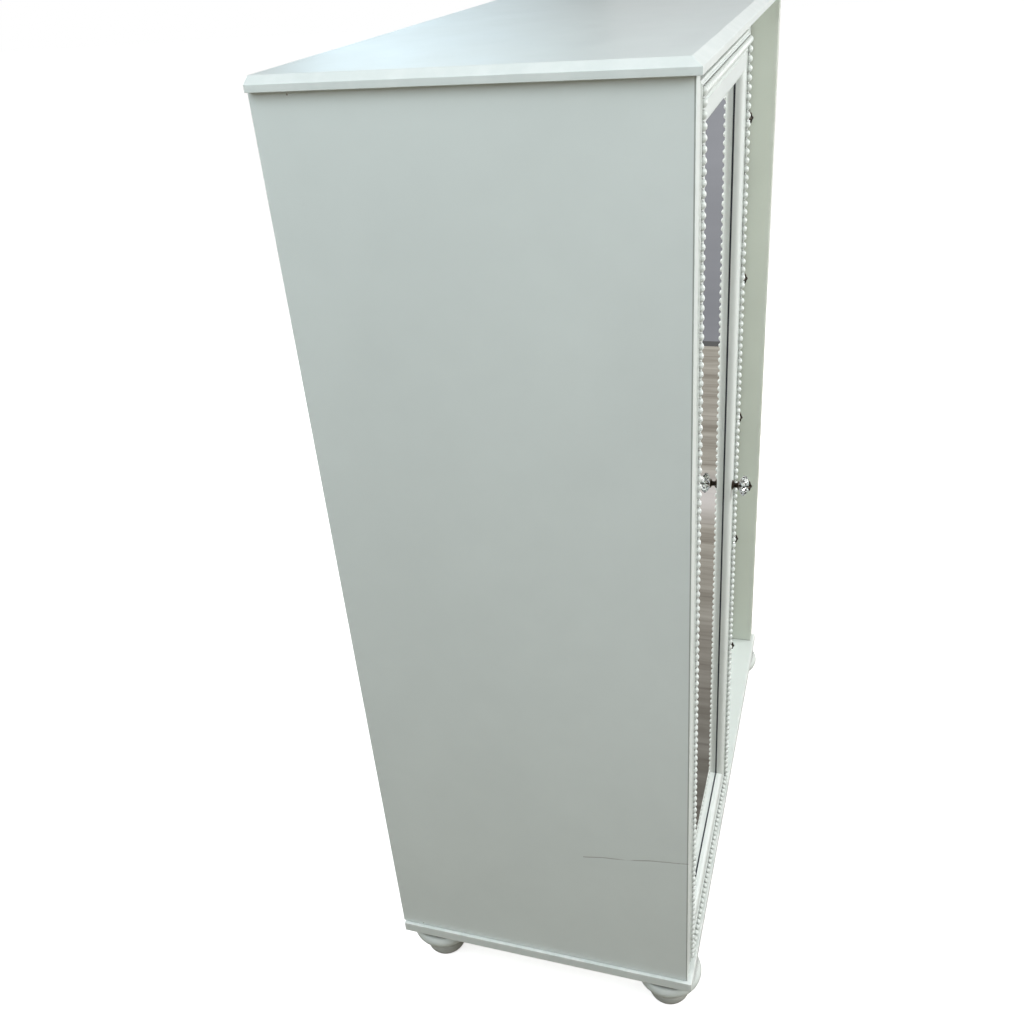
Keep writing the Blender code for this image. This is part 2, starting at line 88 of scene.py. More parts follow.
# ---- node materials ----
class Look:
    """A procedural material, built node by node around one Principled shader."""

    def __init__(self, name):
        self.material = bpy.data.materials.new(name)
        self.material.use_nodes = True
        self.tree = self.material.node_tree
        self.tree.nodes.clear()
        output = self.tree.nodes.new("ShaderNodeOutputMaterial")
        self.shader = self.tree.nodes.new("ShaderNodeBsdfPrincipled")
        self.tree.links.new(self.shader.outputs["BSDF"], output.inputs["Surface"])
        coords = self.tree.nodes.new("ShaderNodeTexCoord")
        self.place = coords.outputs["Object"]

    def put(self, node, socket, value):
        """Give a socket a constant, or link another node's output to it."""
        target = node.inputs[socket]
        if isinstance(value, bpy.types.NodeSocket):
            self.tree.links.new(value, target)
        elif hasattr(value, "__len__") and len(value) == 3 and target.type == "RGBA":
            target.default_value = (*value, 1.0)
        else:
            target.default_value = value

    def set(self, **values):
        """Set the shader's own sockets; underscores in names stand for spaces."""
        for socket, value in values.items():
            self.put(self.shader, socket.replace("_", " "), value)

    def add(self, kind, **values):
        node = self.tree.nodes.new(kind)
        for key, value in values.items():
            setattr(node, key, value)
        return node

    def stretch(self, scale, turn=(0.0, 0.0, 0.0)):
        node = self.add("ShaderNodeMapping")
        self.put(node, "Vector", self.place)
        self.put(node, "Scale", scale)
        self.put(node, "Rotation", turn)
        return node.outputs["Vector"]

    def noise(self, scale, detail=2.0, rough=0.5, where=None, warp=0.0):
        node = self.add("ShaderNodeTexNoise")
        self.put(node, "Vector", where or self.place)
        self.put(node, "Scale", scale)
        self.put(node, "Detail", detail)
        self.put(node, "Roughness", rough)
        self.put(node, "Distortion", warp)
        return node.outputs["Fac"]

    def remap(self, value, low, high, to_low=0.0, to_high=1.0):
        node = self.add("ShaderNodeMapRange", clamp=True)
        self.put(node, "Value", value)
        for socket, number in (("From Min", low), ("From Max", high),
                               ("To Min", to_low), ("To Max", to_high)):
            self.put(node, socket, number)
        return node.outputs["Result"]

    def maths(self, operation, a, b=0.0):
        node = self.add("ShaderNodeMath", operation=operation)
        self.put(node, 0, a)
        self.put(node, 1, b)
        return node.outputs[0]

    def vector(self, operation, a, b=(0.0, 0.0, 0.0), out="Vector"):
        node = self.add("ShaderNodeVectorMath", operation=operation)
        self.put(node, 0, a)
        self.put(node, 1, b)
        return node.outputs[out]

    def axis(self, index):
        node = self.add("ShaderNodeSeparateXYZ")
        self.put(node, 0, self.place)
        return node.outputs[index]

    def mix(self, share, a, b):
        node = self.add("ShaderNodeMix", data_type="RGBA")
        self.put(node, 0, share)
        self.put(node, 6, a)
        self.put(node, 7, b)
        return node.outputs[2]

    def bump(self, height, distance, under=None):
        node = self.add("ShaderNodeBump")
        self.put(node, "Height", height)
        self.put(node, "Distance", distance)
        self.put(node, "Strength", 1.0)
        if under is not None:
            self.put(node, "Normal", under)
        return node.outputs["Normal"]

    def openness(self, reach):
        """Openness of the surroundings within reach: 1 in the open, less in a corner."""
        node = self.add("ShaderNodeAmbientOcclusion", samples=6)
        self.put(node, "Distance", reach)
        return node.outputs["AO"]

    def edge_band(self):
        """The mesh attribute that is 1 along the edges of a piece."""
        return self.add("ShaderNodeAttribute", attribute_name="edge").outputs["Fac"]


def scratch(look, start, end, width, seed):
    """Mask of one hairline scratch between two points, wavering and broken."""
    waver = look.maths("SUBTRACT", look.noise(14.0, 2.0), 0.5)
    shift = look.maths("MULTIPLY", waver, 0.010)
    run = Vector(end) - Vector(start)
    offset = look.vector("SUBTRACT", look.place, start)
    along = look.vector("DOT_PRODUCT", offset, tuple(run / run.length_squared), out="Value")
    held = look.maths("MAXIMUM", look.maths("MINIMUM", along, 1.0), 0.0)
    nearest = look.add("ShaderNodeVectorMath", operation="SCALE")
    look.put(nearest, 0, run)
    look.put(nearest, "Scale", held)
    away = look.vector("SUBTRACT", offset, nearest.outputs[0])
    lift = look.add("ShaderNodeCombineXYZ")
    look.put(lift, "Z", shift)
    distance = look.vector("LENGTH", look.vector("ADD", away, lift.outputs[0]), out="Value")
    line = look.remap(distance, width * 0.4, width, 1.0, 0.0)
    breaks = look.remap(look.noise(60.0 + seed, 2.0), 0.26, 0.42)
    return look.maths("MULTIPLY", line, breaks)


def paint_coat(look, tint, rubbed):
    """Paint colour: faint patches and specks, paler along the edges, partly from wear and partly as painted
    highlight.
    """
    patches = look.remap(look.noise(5.0, 3.0, 0.55), 0.30, 0.70)
    specks = look.remap(look.noise(26.0, 2.0, 0.5), 0.35, 0.70)
    colour = look.mix(patches, tuple(c * 0.955 for c in tint), tint)
    colour = look.mix(look.maths("MULTIPLY", specks, 0.10), colour, tuple(c * 0.86 for c in tint))
    # Paler edges: partly rubbed wear, partly painted highlight along the edges.
    edge_wear_and_highlight = look.maths("MULTIPLY", look.edge_band(), look.remap(look.noise(38.0, 3.0, 0.6), 0.42, 0.62))
    return look.mix(look.maths("MULTIPLY", edge_wear_and_highlight, rubbed), colour, (0.90, 0.93, 0.91))


def dust_and_shade_mask(look, hollow, dust_and_shade_range, share):
    """Uneven dust and painted shade where surfaces meet, within the reach of a hollow."""
    crevice = look.remap(look.openness(hollow), *dust_and_shade_range, 1.0, 0.0)
    uneven = look.remap(look.noise(24.0, 3.0), 0.2, 0.8, *share)
    return look.maths("MULTIPLY", crevice, uneven)


def add_joint(look, colour, joint):
    """The thin dark line where a board meets its front edging, at a depth along Y."""
    away = look.maths("ABSOLUTE", look.maths("SUBTRACT", look.axis(1), joint))
    hairline = look.remap(away, 0.0003, 0.0009, 0.70, 0.0)
    return look.mix(hairline, colour, (0.20, 0.20, 0.18))


def add_ankle_scuffs_and_shade(look, colour, height):
    """Scuff marks and painted shade that thin out from the floor up to a height."""
    scuffs = look.remap(look.noise(45.0, 3.0, 0.6), 0.3, 0.7, 0.7, 1.0)
    low = look.remap(look.axis(2), 0.45 * height, height, 0.62, 0.0)
    return look.mix(look.maths("MULTIPLY", low, scuffs), colour, (0.27, 0.25, 0.21))


def add_spots(look, colour, marks):
    """Small ragged dark marks, each a place and a size."""
    for place, size in marks:
        away = look.vector("DISTANCE", look.place, place, out="Value")
        ragged = look.maths("ADD", away, look.maths("MULTIPLY", look.noise(300.0, 2.0), size))
        dot = look.remap(ragged, size * 0.9, size * 1.4, 1.0, 0.0)
        colour = look.mix(dot, colour, (0.33, 0.30, 0.26))
    return colour


def paint_look(name, tint=(0.765, 0.825, 0.800), scratches=(), marks=(), hollow=0.020,
               dust_and_shade_colour=(0.44, 0.43, 0.39), dust_and_shade_range=(0.15, 0.62), share=(0.25, 0.75),
               seam=(0.12, 0.42), scuff_and_shade_height=0.0, rubbed=0.25, joint=None):
    """Satin furniture paint: orange peel, faint patches, edges paler from wear and painted highlight, dust
    and painted shade in its hollows and seams.
    """
    look = Look(name)
    # Dust and painted shade: the colour darkens where the surroundings close in, as shade falls there.
    dust_and_shade = dust_and_shade_mask(look, hollow, dust_and_shade_range, share)
    colour = look.mix(dust_and_shade, paint_coat(look, tint, rubbed), dust_and_shade_colour)
    # Painted shade: a dark line drawn in narrow seams and corners, where shade falls.
    seam_shade = look.remap(look.openness(SEAM_SHADE_REACH), *seam, 0.80, 0.0)
    colour = look.mix(seam_shade, colour, (0.13, 0.12, 0.11))
    if joint is not None:
        colour = add_joint(look, colour, joint)
    # Darker towards the floor: scuffs and painted shade.
    if scuff_and_shade_height:
        colour = add_ankle_scuffs_and_shade(look, colour, scuff_and_shade_height)
    satin = look.remap(look.noise(17.0, 4.0, 0.6), 0.3, 0.7, 0.28, 0.37)
    rough = look.maths("ADD", satin, look.maths("MULTIPLY", dust_and_shade, 0.25))
    normal = look.bump(look.noise(420.0, 1.0, 0.4), 0.000006)
    normal = look.bump(look.noise(70.0, 3.0, 0.5), 0.00005, under=normal)
    for index, (start, end, width) in enumerate(scratches):
        mask = scratch(look, start, end, width, index * 7.0)
        colour = look.mix(look.maths("MULTIPLY", mask, 0.75), colour, (0.30, 0.29, 0.27))
        normal = look.bump(look.maths("SUBTRACT", 1.0, mask), 0.0002, under=normal)
    colour = add_spots(look, colour, marks)
    look.set(Base_Color=colour, Roughness=rough, Normal=normal)
    look.set(Specular_IOR_Level=0.5)
    return look.material


def mirror_look():
    """Silvered glass: clean, with a faint haze of wiping and dark specks near its edges."""
    look = Look("mirror_silver")
    wipe = look.noise(9.0, 3.0, 0.6, where=look.stretch((1.0, 1.0, 0.25)), warp=0.6)
    haze = look.remap(wipe, 0.45, 0.75, 0.006, 0.030)
    tint = look.mix(look.remap(look.noise(4.0), 0.3, 0.7), (0.80, 0.82, 0.80), (0.86, 0.87, 0.86))
    edge = look.edge_band()
    spoil = look.maths("MULTIPLY", edge, look.remap(look.noise(120.0, 4.0, 0.7), 0.56, 0.66))
    tint = look.mix(spoil, tint, (0.16, 0.15, 0.14))
    look.set(Base_Color=tint, Metallic=1.0, Roughness=haze)
    return look.material


def mirror_edge_shade_look():
    """Painted shade: a blue-black band that stands in for the dark line at the glass's edge, slightly
    uneven.
    """
    look = Look("mirror_edge")
    uneven = look.remap(look.noise(90.0, 3.0, 0.6), 0.3, 0.7)
    colour = look.mix(uneven, (0.020, 0.026, 0.036), (0.060, 0.068, 0.085))
    look.set(Base_Color=colour, Roughness=look.remap(uneven, 0.0, 1.0, 0.35, 0.55))
    return look.material


def crystal_look():
    """Clear cut glass with the faintest cloud in it."""
    look = Look("cut_crystal")
    cloud = look.remap(look.noise(160.0, 3.0), 0.5, 0.8, 0.0, 0.05)
    tint = look.mix(look.noise(60.0, 1.0), (0.97, 0.99, 0.99), (0.93, 0.97, 0.98))
    look.set(Base_Color=tint, Roughness=cloud)
    look.set(IOR=1.52, Transmission_Weight=1.0)
    return look.material


def metal_look(name, dark, bright, rough, grain=(1.0, 1.0, 1.0), patina=0.5):
    """A metal with patina in its hollows, rubbed bright on its high edges."""
    look = Look(name)
    cloud = look.remap(look.noise(130.0, 4.0, 0.65), 0.35, 0.70)
    edge = look.edge_band()
    rubbed = look.maths("MAXIMUM", look.maths("MULTIPLY", edge, 0.8), look.maths("MULTIPLY", cloud, patina))
    colour = look.mix(rubbed, dark, bright)
    lines = look.noise(900.0, 2.0, 0.5, where=look.stretch(grain))
    surface = look.remap(lines, 0.3, 0.7, rough - 0.07, rough + 0.09)
    normal = look.bump(lines, 0.00003)
    look.set(Base_Color=colour, Metallic=1.0, Roughness=surface, Normal=normal)
    return look.material


def timber_look(name, pale, dark, stretch):
    """Bare timber: long growth rings, fine pores and a matt, slightly thirsty surface."""
    look = Look(name)
    along = look.stretch(stretch)
    wander = look.noise(3.0, 2.0, 0.5, where=along)
    rings = look.noise(26.0, 3.0, 0.55, where=along, warp=1.1)
    bands = look.maths("PINGPONG", look.maths("MULTIPLY", look.maths("ADD", rings, wander), 7.0), 1.0)
    colour = look.mix(look.remap(bands, 0.1, 0.9), pale, dark)
    pores = look.noise(380.0, 2.0, 0.6, where=along)
    pore = look.remap(pores, 0.58, 0.68)
    colour = look.mix(look.maths("MULTIPLY", pore, 0.45), colour, tuple(c * 0.55 for c in dark))
    tone = look.remap(look.noise(1.7, 1.0), 0.3, 0.7, 0.0, 0.25)
    colour = look.mix(tone, colour, tuple(c * 1.12 for c in pale))
    rough = look.remap(bands, 0.0, 1.0, 0.52, 0.66)
    normal = look.bump(look.maths("SUBTRACT", 1.0, pore), 0.00010)
    normal = look.bump(bands, 0.00005, under=normal)
    look.set(Base_Color=colour, Roughness=rough, Normal=normal)
    return look.material


def felt_look():
    """Grey felt: matted fibres, uneven nap and a soft sheen."""
    look = Look("grey_felt")
    nap = look.noise(26.0, 4.0, 0.6)
    fibres = look.noise(900.0, 4.0, 0.75, warp=1.5)
    combed = look.stretch((1.0, 2.6, 1.0), turn=(0.0, 0.0, 0.6))
    strands = look.noise(420.0, 3.0, 0.7, where=combed, warp=2.0)
    colour = look.mix(look.remap(nap, 0.3, 0.7), (0.125, 0.120, 0.135), (0.185, 0.178, 0.195))
    colour = look.mix(look.remap(strands, 0.52, 0.72), colour, (0.30, 0.29, 0.31))
    height = look.maths("ADD", fibres, strands)
    look.set(Base_Color=colour, Roughness=look.remap(nap, 0.3, 0.7, 0.86, 0.97))
    look.set(Normal=look.bump(height, 0.0006))
    look.set(Sheen_Weight=0.35, Sheen_Roughness=0.5, Specular_IOR_Level=0.15)
    return look.material


def hardboard_look():
    """Brown pressed fibre board."""
    look = Look("hardboard")
    fibre = look.noise(240.0, 4.0, 0.7, warp=1.0)
    colour = look.mix(look.remap(fibre, 0.3, 0.7), (0.150, 0.095, 0.055), (0.250, 0.165, 0.100))
    look.set(Base_Color=colour, Roughness=look.remap(fibre, 0.3, 0.7, 0.62, 0.80))
    look.set(Normal=look.bump(fibre, 0.0002))
    return look.material


def plastic_look():
    """White moulded plastic of the magnetic catch, lightly pitted."""
    look = Look("catch_plastic")
    grain = look.noise(700.0, 2.0)
    colour = look.mix(look.noise(30.0, 3.0), (0.70, 0.70, 0.67), (0.78, 0.78, 0.75))
    look.set(Base_Color=colour, Roughness=look.remap(grain, 0.3, 0.7, 0.38, 0.50))
    look.set(Normal=look.bump(grain, 0.00006))
    return look.material


# ---- mesh building ----
def piece(name, bm, look, body, nodes=(), smooth=35.0):
    """Finish a mesh made in frame coordinates as a piece that rides on a body."""
    bmesh.ops.recalc_face_normals(bm, faces=bm.faces)
    mesh = bpy.data.meshes.new(name)
    bm.to_mesh(mesh)
    bm.free()
    mesh.shade_smooth()
    mesh.set_sharp_from_angle(angle=math.radians(smooth))
    mesh.materials.append(look)
    made = bpy.data.objects.new(name, mesh)
    bpy.context.collection.objects.link(made)
    flat = made.modifiers.new("flat faces", "WEIGHTED_NORMAL")
    flat.keep_sharp = True
    flat.weight = 90
    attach(made, body)
    if nodes:
        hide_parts(*nodes)


def mark_edges(bm, inner):
    """Store 1 on every vertex that isn't part of the given inner faces, which get 0."""
    layer = bm.verts.layers.float.get("edge") or bm.verts.layers.float.new("edge")
    calm = {vert for face in inner for vert in face.verts}
    for vert in bm.verts:
        vert[layer] = 0.0 if vert in calm else 1.0


def add_box(bm, low, high):
    """Add a plain box between two corners and return its vertices."""
    made = bmesh.ops.create_cube(bm, size=1.0)["verts"]
    middle = [(a + b) / 2 for a, b in zip(low, high)]
    for vert in made:
        vert.co = [m + v * (b - a) for m, v, a, b in zip(middle, vert.co, low, high)]
    return made


def flat_faces(bm, low, high):
    """The large faces of a rounded board: square to an axis and centred on the board."""
    middle = Vector([(a + b) / 2 for a, b in zip(low, high)])
    found = []
    for face in bm.faces:
        centre = face.calc_center_median() - middle
        for axis in range(3):
            outermost = abs(abs(centre[axis]) - (high[axis] - low[axis]) / 2) < 1e-6
            faces_axis = abs(abs(face.normal[axis]) - 1.0) < 1e-4
            centred = all(abs(centre[other]) < 1e-5 for other in range(3) if other != axis)
            if outermost and faces_axis and centred and face.calc_area() > 1e-7:
                found.append(face)
    return found


def round_board(bm, low, high, radius, segments=3, rim=0.0040):
    """Add a board with rounded edges and a narrow rim in each flat face; return those faces."""
    verts = add_box(bm, low, high)
    edges = list(dict.fromkeys(edge for vert in verts for edge in vert.link_edges))
    bmesh.ops.bevel(bm, geom=edges, offset=radius, segments=segments, profile=0.5,
                    affect="EDGES", clamp_overlap=True)
    flats = flat_faces(bm, low, high)
    thinnest = min(b - a for a, b in zip(low, high))
    band = min(rim, 0.3 * (thinnest - 2 * radius))
    bmesh.ops.inset_individual(bm, faces=flats, thickness=band, use_even_offset=True)
    return flats


def board_piece(node, look, body, radius):
    """A CAD board, redrawn with rounded edges."""
    bm = bmesh.new()
    flats = round_board(bm, *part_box(node), radius)
    mark_edges(bm, flats)
    piece(f"{node}_shown", bm, look, body, (node,))


def arc(centre_a, centre_b, radius, start, end, count):
    """Points of an arc, both ends included, angles in degrees."""
    turns = [math.radians(start + (end - start) * i / count) for i in range(count + 1)]
    return [(centre_a + radius * math.cos(t), centre_b + radius * math.sin(t)) for t in turns]


def turn(bm, profile, sides, to_world, flutes=0, depth=0.0, edge=None):
    """Sweep a (radius, height) profile round its axis, optionally fluted and with worn rings."""
    layer = bm.verts.layers.float.get("edge") or bm.verts.layers.float.new("edge")
    rings = []
    for index, (radius, height) in enumerate(profile):
        if radius < 1e-9:
            ring = [bm.verts.new(to_world(0.0, 0.0, height))]
        else:
            ring = []
            for i in range(sides):
                angle = 2 * math.pi * i / sides
                reach = radius * (1.0 + depth * (math.cos(flutes * angle) - 1.0) / 2)
                ring.append(bm.verts.new(to_world(reach * math.cos(angle), reach * math.sin(angle), height)))
        for vert in ring:
            vert[layer] = edge[index] if edge else 0.0
        rings.append(ring)
    for lower, upper in zip(rings, rings[1:]):
        for i in range(sides):
            j = (i + 1) % sides
            corners = [lower[i % len(lower)], lower[j % len(lower)],
                       upper[j % len(upper)], upper[i % len(upper)]]
            corners = list(dict.fromkeys(corners))
            if len(corners) > 2:
                bm.faces.new(corners)
    for end in (rings[0], rings[-1]):
        if len(end) > 1:
            bm.faces.new(end)


def upright(x, y):
    """Place a turned part on end, its height along Z."""
    return lambda a, b, height: (x + a, y + b, height)


def forward(x, y, z):
    """Place a turned part facing the front, its height towards -Y."""
    return lambda a, b, height: (x + a, y - height, z + b)


# ---- cabinet pieces ----
def make_top(look):
    """Top board: upright edge, then the shallow bevel on its front and both sides."""
    low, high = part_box("top_board")
    upright_edge = 0.0069
    bevel_reach = 0.0105

    def outline(inset, z):
        left, right, front = low.x + inset, high.x - inset, low.y + inset
        return [(left, front, z), (right, front, z), (right, high.y, z), (left, high.y, z)]

    layers = [outline(0.0, low.z), outline(0.0, low.z + upright_edge), outline(bevel_reach, high.z)]
    bm = bmesh.new()
    rows = [[bm.verts.new(point) for point in layer] for layer in layers]
    bm.faces.new(rows[0])
    bm.faces.new(rows[-1])
    for lower, upper in zip(rows, rows[1:]):
        for i in range(4):
            j = (i + 1) % 4
            bm.faces.new((lower[i], lower[j], upper[j], upper[i]))
    bmesh.ops.recalc_face_normals(bm, faces=bm.faces)
    softened = 0.0005
    bmesh.ops.bevel(bm, geom=bm.edges[:], offset=softened, segments=2, profile=0.5, affect="EDGES")
    large = 0.01
    flats = [face for face in bm.faces if face.calc_area() > large]
    rim = 0.006
    bmesh.ops.inset_individual(bm, faces=flats, thickness=rim, use_even_offset=True)
    mark_edges(bm, flats)
    piece("top_board_shown", bm, look, "carcass", ("top_board",))


def foot_profile(height):
    """Bun with a rounded rim over a smaller rounded ankle, bottom to top."""
    bun_radius, bun_round = 0.0437, 0.0161
    ankle_radius, ankle_round = 0.0280, 0.0138
    middle = ankle_round * math.sin(math.radians(64))
    glide = [(0.0, 0.0), (0.0188, 0.0), (0.0198, 0.0003)]
    ankle = arc(ankle_radius - ankle_round, middle, ankle_round, -62, 52, 14)
    rim = arc(bun_radius - bun_round, height - bun_round, bun_round, -80, 90, 26)
    cove = [(ankle[-1][0] + 0.0002, rim[0][1] - 0.0012), (ankle[-1][0] + 0.0014, rim[0][1] - 0.0002)]
    return glide + ankle + cove + rim + [(0.0, height)]


def make_feet(look):
    """Four turned bun feet."""
    for end in ("front", "back"):
        for side in ("left", "right"):
            node = f"foot_{end}_{side}"
            low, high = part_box(node)
            profile = foot_profile(high.z)
            bm = bmesh.new()
            turn(bm, profile, 72, upright((low.x + high.x) / 2, (low.y + high.y) / 2))
            piece(f"{node}_shown", bm, look, "carcass", (node,), smooth=50)


def make_back(look, steel):
    """Thin back panel with a row of brads round its edge."""
    board_piece("back_panel", look, "carcass", radius=0.0006)
    low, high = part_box("back_panel")
    bm = bmesh.new()
    pitch = 0.12
    inset = 0.010
    columns = round((high.x - low.x) / pitch)
    rows = round((high.z - low.z) / pitch)
    spots = []
    for i in range(columns + 1):
        x = low.x + inset + (high.x - low.x - 2 * inset) * i / columns
        spots += [(x, low.z + inset), (x, high.z - inset)]
    for j in range(1, rows):
        z = low.z + inset + (high.z - low.z - 2 * inset) * j / rows
        spots += [(low.x + inset, z), (high.x - inset, z)]
    head = [(0.0, -0.0006), (0.0016, -0.0004), (0.0019, 0.0), (0.0016, 0.0003), (0.0, 0.0004)]
    for x, z in spots:
        turn(bm, head, 14, lambda a, b, h, x=x, z=z: (x + a, high.y + h, z + b))
    piece("back_panel_brads", bm, steel, "carcass", smooth=60)


# ---- door ----
def frame_profile():
    """Section of a door frame member: (inset from the outer edge, depth behind the front)."""
    back = DOOR_BACK - FRONT
    outer = [(0.0006, back), (0.0001, back - 0.0006)]
    reeds = arc(OUTER_REED, OUTER_REED_DEPTH, OUTER_REED - 0.0001, 180, 322, 9)
    middle = 2 * OUTER_REED + INNER_REED - 0.0001
    reeds += arc(middle, INNER_REED_DEPTH, INNER_REED, 172, 384, 12)
    seat = [(0.0052, BAND), (0.0169, BAND)]
    channel = [(0.0171, BAND + 0.0003), (0.0173, BAND + 0.0007)]
    arris = arc(0.0182, BAND - 0.0001, 0.0007, 190, 350, 7)
    groove = [(0.0191, BAND + 0.0007), (0.0194, BAND + 0.0009), (0.0203, BAND + 0.0009),
              (0.0206, BAND + 0.0006), (0.0209, BAND + 0.0001), (0.0213, BAND)]
    lip = arc(FRAME_WIDTH - INNER_ROUND, BAND + INNER_ROUND, INNER_ROUND, -90, 0, 12)
    rebate = [(FRAME_WIDTH, LIP_BACK), (FRAME_WIDTH - LIP, LIP_BACK), (FRAME_WIDTH - LIP, back - 0.0005),
              (FRAME_WIDTH - LIP - 0.0005, back)]
    return outer + reeds + seat + channel + arris + groove + lip + rebate


def mitred(profile, side):
    """Run a profile along one side of the door, mitred at both ends."""
    rings = []
    for end in (0, 1):
        ring = []
        for inset, depth in profile:
            reach = inset + MITRE_GAP
            across = {"left": DOOR_LEFT + inset, "right": DOOR_RIGHT - inset,
                      "bottom": DOOR_BOTTOM + inset, "top": DOOR_TOP - inset}[side]
            if side in ("left", "right"):
                along = (DOOR_BOTTOM + reach, DOOR_TOP - reach)[end]
                ring.append((across, FRONT + depth, along))
            else:
                along = (DOOR_LEFT + reach, DOOR_RIGHT - reach)[end]
                ring.append((along, FRONT + depth, across))
        rings.append(ring)
    bm = bmesh.new()
    layer = bm.verts.layers.float.new("edge")
    rows = [[bm.verts.new(point) for point in ring] for ring in rings]
    for row in rows:
        for (inset, depth), vert in zip(profile, row):
            vert[layer] = 1.0 if inset < 0.005 or depth < BAND - 1e-5 else 0.0
        bm.faces.new(row)
    count = len(profile)
    for i in range(count):
        j = (i + 1) % count
        bm.faces.new((rows[0][i], rows[0][j], rows[1][j], rows[1][i]))
    return bm


def make_frame(look):
    """The door's four mitred frame members."""
    profile = frame_profile()
    for side, kind in (("left", "stile"), ("right", "stile"), ("top", "rail"), ("bottom", "rail")):
        node = f"door_{kind}_{side}"
        piece(f"{node}_shown", mitred(profile, side), look, "door", (node,), smooth=28)


def bead_rings(seat):
    """Radius and depth of a bead's rings, from its seat to its crest."""
    start = math.degrees(math.asin((seat - BEAD_CENTRE) / BEAD_RADIUS))
    steps = 8
    rings = []
    for i in range(steps + 1):
        angle = math.radians(start - (start + 90) * i / steps)
        rings.append((BEAD_RADIUS * math.cos(angle), BEAD_CENTRE + BEAD_RADIUS * math.sin(angle)))
    rings[-1] = (0.0, BEAD_CENTRE - BEAD_RADIUS)
    return rings


def add_bead(bm, x, z, rings):
    """Add one bead to the front of the frame."""
    profile = [(radius, -depth) for radius, depth in rings]
    turn(bm, profile, 18, forward(x, FRONT, z))


def make_beads(look):
    """Strings of half-round beads on a thin cord of the same moulding."""
    rings = bead_rings(BAND)
    left, right = DOOR_LEFT + BEAD_INSET, DOOR_RIGHT - BEAD_INSET
    bottom, top = DOOR_BOTTOM + BEAD_INSET, DOOR_TOP - BEAD_INSET
    cord = 0.0015
    for side, x in (("left", left), ("right", right)):
        steps = BEAD_STEPS[side]
        bm = bmesh.new()
        for i in range(steps + 1):
            add_bead(bm, x, bottom + (top - bottom) * i / steps, rings)
        add_box(bm, (x - cord, FRONT + BAND - cord, bottom), (x + cord, FRONT + BAND, top))
        piece(f"beading_{side}_beads", bm, look, "door", (f"beading_{side}",), smooth=60)
    for side, z in (("bottom", bottom), ("top", top)):
        steps = BEAD_STEPS[side]
        bm = bmesh.new()
        for i in range(1, steps):
            add_bead(bm, left + (right - left) * i / steps, z, rings)
        reach = BEAD_RADIUS + 0.0006
        add_box(bm, (left + reach, FRONT + BAND - cord, z - cord), (right - reach, FRONT + BAND, z + cord))
        piece(f"beading_{side}_beads", bm, look, "door", (f"beading_{side}",), smooth=60)


def make_mirror(silver, edge_shade_look, board_look):
    """Silvered glass set a little behind the lip, a dark band of painted shade round it in the gap, and its
    backing.
    """
    setback = 0.0008
    low = (MIRROR_LOW.x, MIRROR_LOW.y + setback, MIRROR_LOW.z)
    bm = bmesh.new()
    flats = round_board(bm, low, MIRROR_HIGH, 0.0003, segments=1, rim=0.012)
    mark_edges(bm, flats)
    piece("mirror_glass_shown", bm, silver, "door", ("mirror_glass",))
    # Painted shade: a dark band in the gap between the lip and the silvering, standing in for the glass's
    # dark edge line.
    bm = bmesh.new()
    outside = FRAME_WIDTH - 0.0042
    left, right = DOOR_LEFT + outside, DOOR_RIGHT - outside
    bottom, top = DOOR_BOTTOM + outside, DOOR_TOP - outside
    wall = 0.0038
    near, far = MIRROR_LOW.y - 0.0001, MIRROR_LOW.y + setback - 0.00005
    add_box(bm, (left, near, bottom), (left + wall, far, top))
    add_box(bm, (right - wall, near, bottom), (right, far, top))
    add_box(bm, (left + wall, near, bottom), (right - wall, far, bottom + wall))
    add_box(bm, (left + wall, near, top - wall), (right - wall, far, top))
    piece("mirror_edge_shade_band", bm, edge_shade_look, "door")
    board_piece("mirror_backing", board_look, "door", radius=0.0003)


# ---- knobs ----
def make_knob(name, body, bronze, crystal):
    """Cut-glass knob on a dark bronze rosette and stem, held by a petalled cap."""
    low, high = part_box(f"{name}_mount")
    x, z, y = (low.x + high.x) / 2, (low.z + high.z) / 2, high.y
    reach = high.y - low.y
    to_world = forward(x, y, z)
    bm = bmesh.new()
    rosette = [(0.0, 0.0), (0.0064, 0.0), (0.0064, 0.0008), (0.0060, 0.0013)]
    turn(bm, rosette + [(0.0, 0.0013)], 64, to_world, flutes=16, depth=0.10,
         edge=[0.0, 0.3, 1.0, 1.0, 0.2])
    stem = ([(0.0054, 0.0012), (0.0050, 0.0019)] + arc(0.0054, 0.0044, 0.0024, -100, -200, 8)
            + [(0.0030, 0.0056), (0.0036, 0.0060), (0.0036, 0.0066), (0.0046, 0.0072),
               (0.0060, 0.0078), (0.0062, 0.0088), (0.0018, 0.0088), (0.0018, 0.0228)])
    turn(bm, stem, 32, to_world, edge=[1.0 if 0.0058 < h < 0.0090 else 0.1 for _, h in stem])
    tip = [(0.0020, 0.0224), (0.0074, 0.0214), (0.0078, 0.0220), (0.0062, 0.0236)]
    turn(bm, tip + [(0.0022, 0.0246)], 64, to_world, flutes=4, depth=0.66,
         edge=[0.0, 0.5, 0.5, 0.3, 0.1])
    button = [(0.0024, 0.0240)] + arc(0.0, reach - 0.0026, 0.0026, 10, 90, 6)[:-1] + [(0.0, reach)]
    turn(bm, button, 32, to_world, edge=[0.3] * (len(button) - 1) + [1.0])
    piece(f"{name}_mount_shown", bm, bronze, body, (f"{name}_mount",), smooth=40)
    bm = bmesh.new()
    crystal_mesh(bm, to_world)
    piece(f"{name}_crystal_shown", bm, crystal, body, (f"{name}_crystal",), smooth=1)


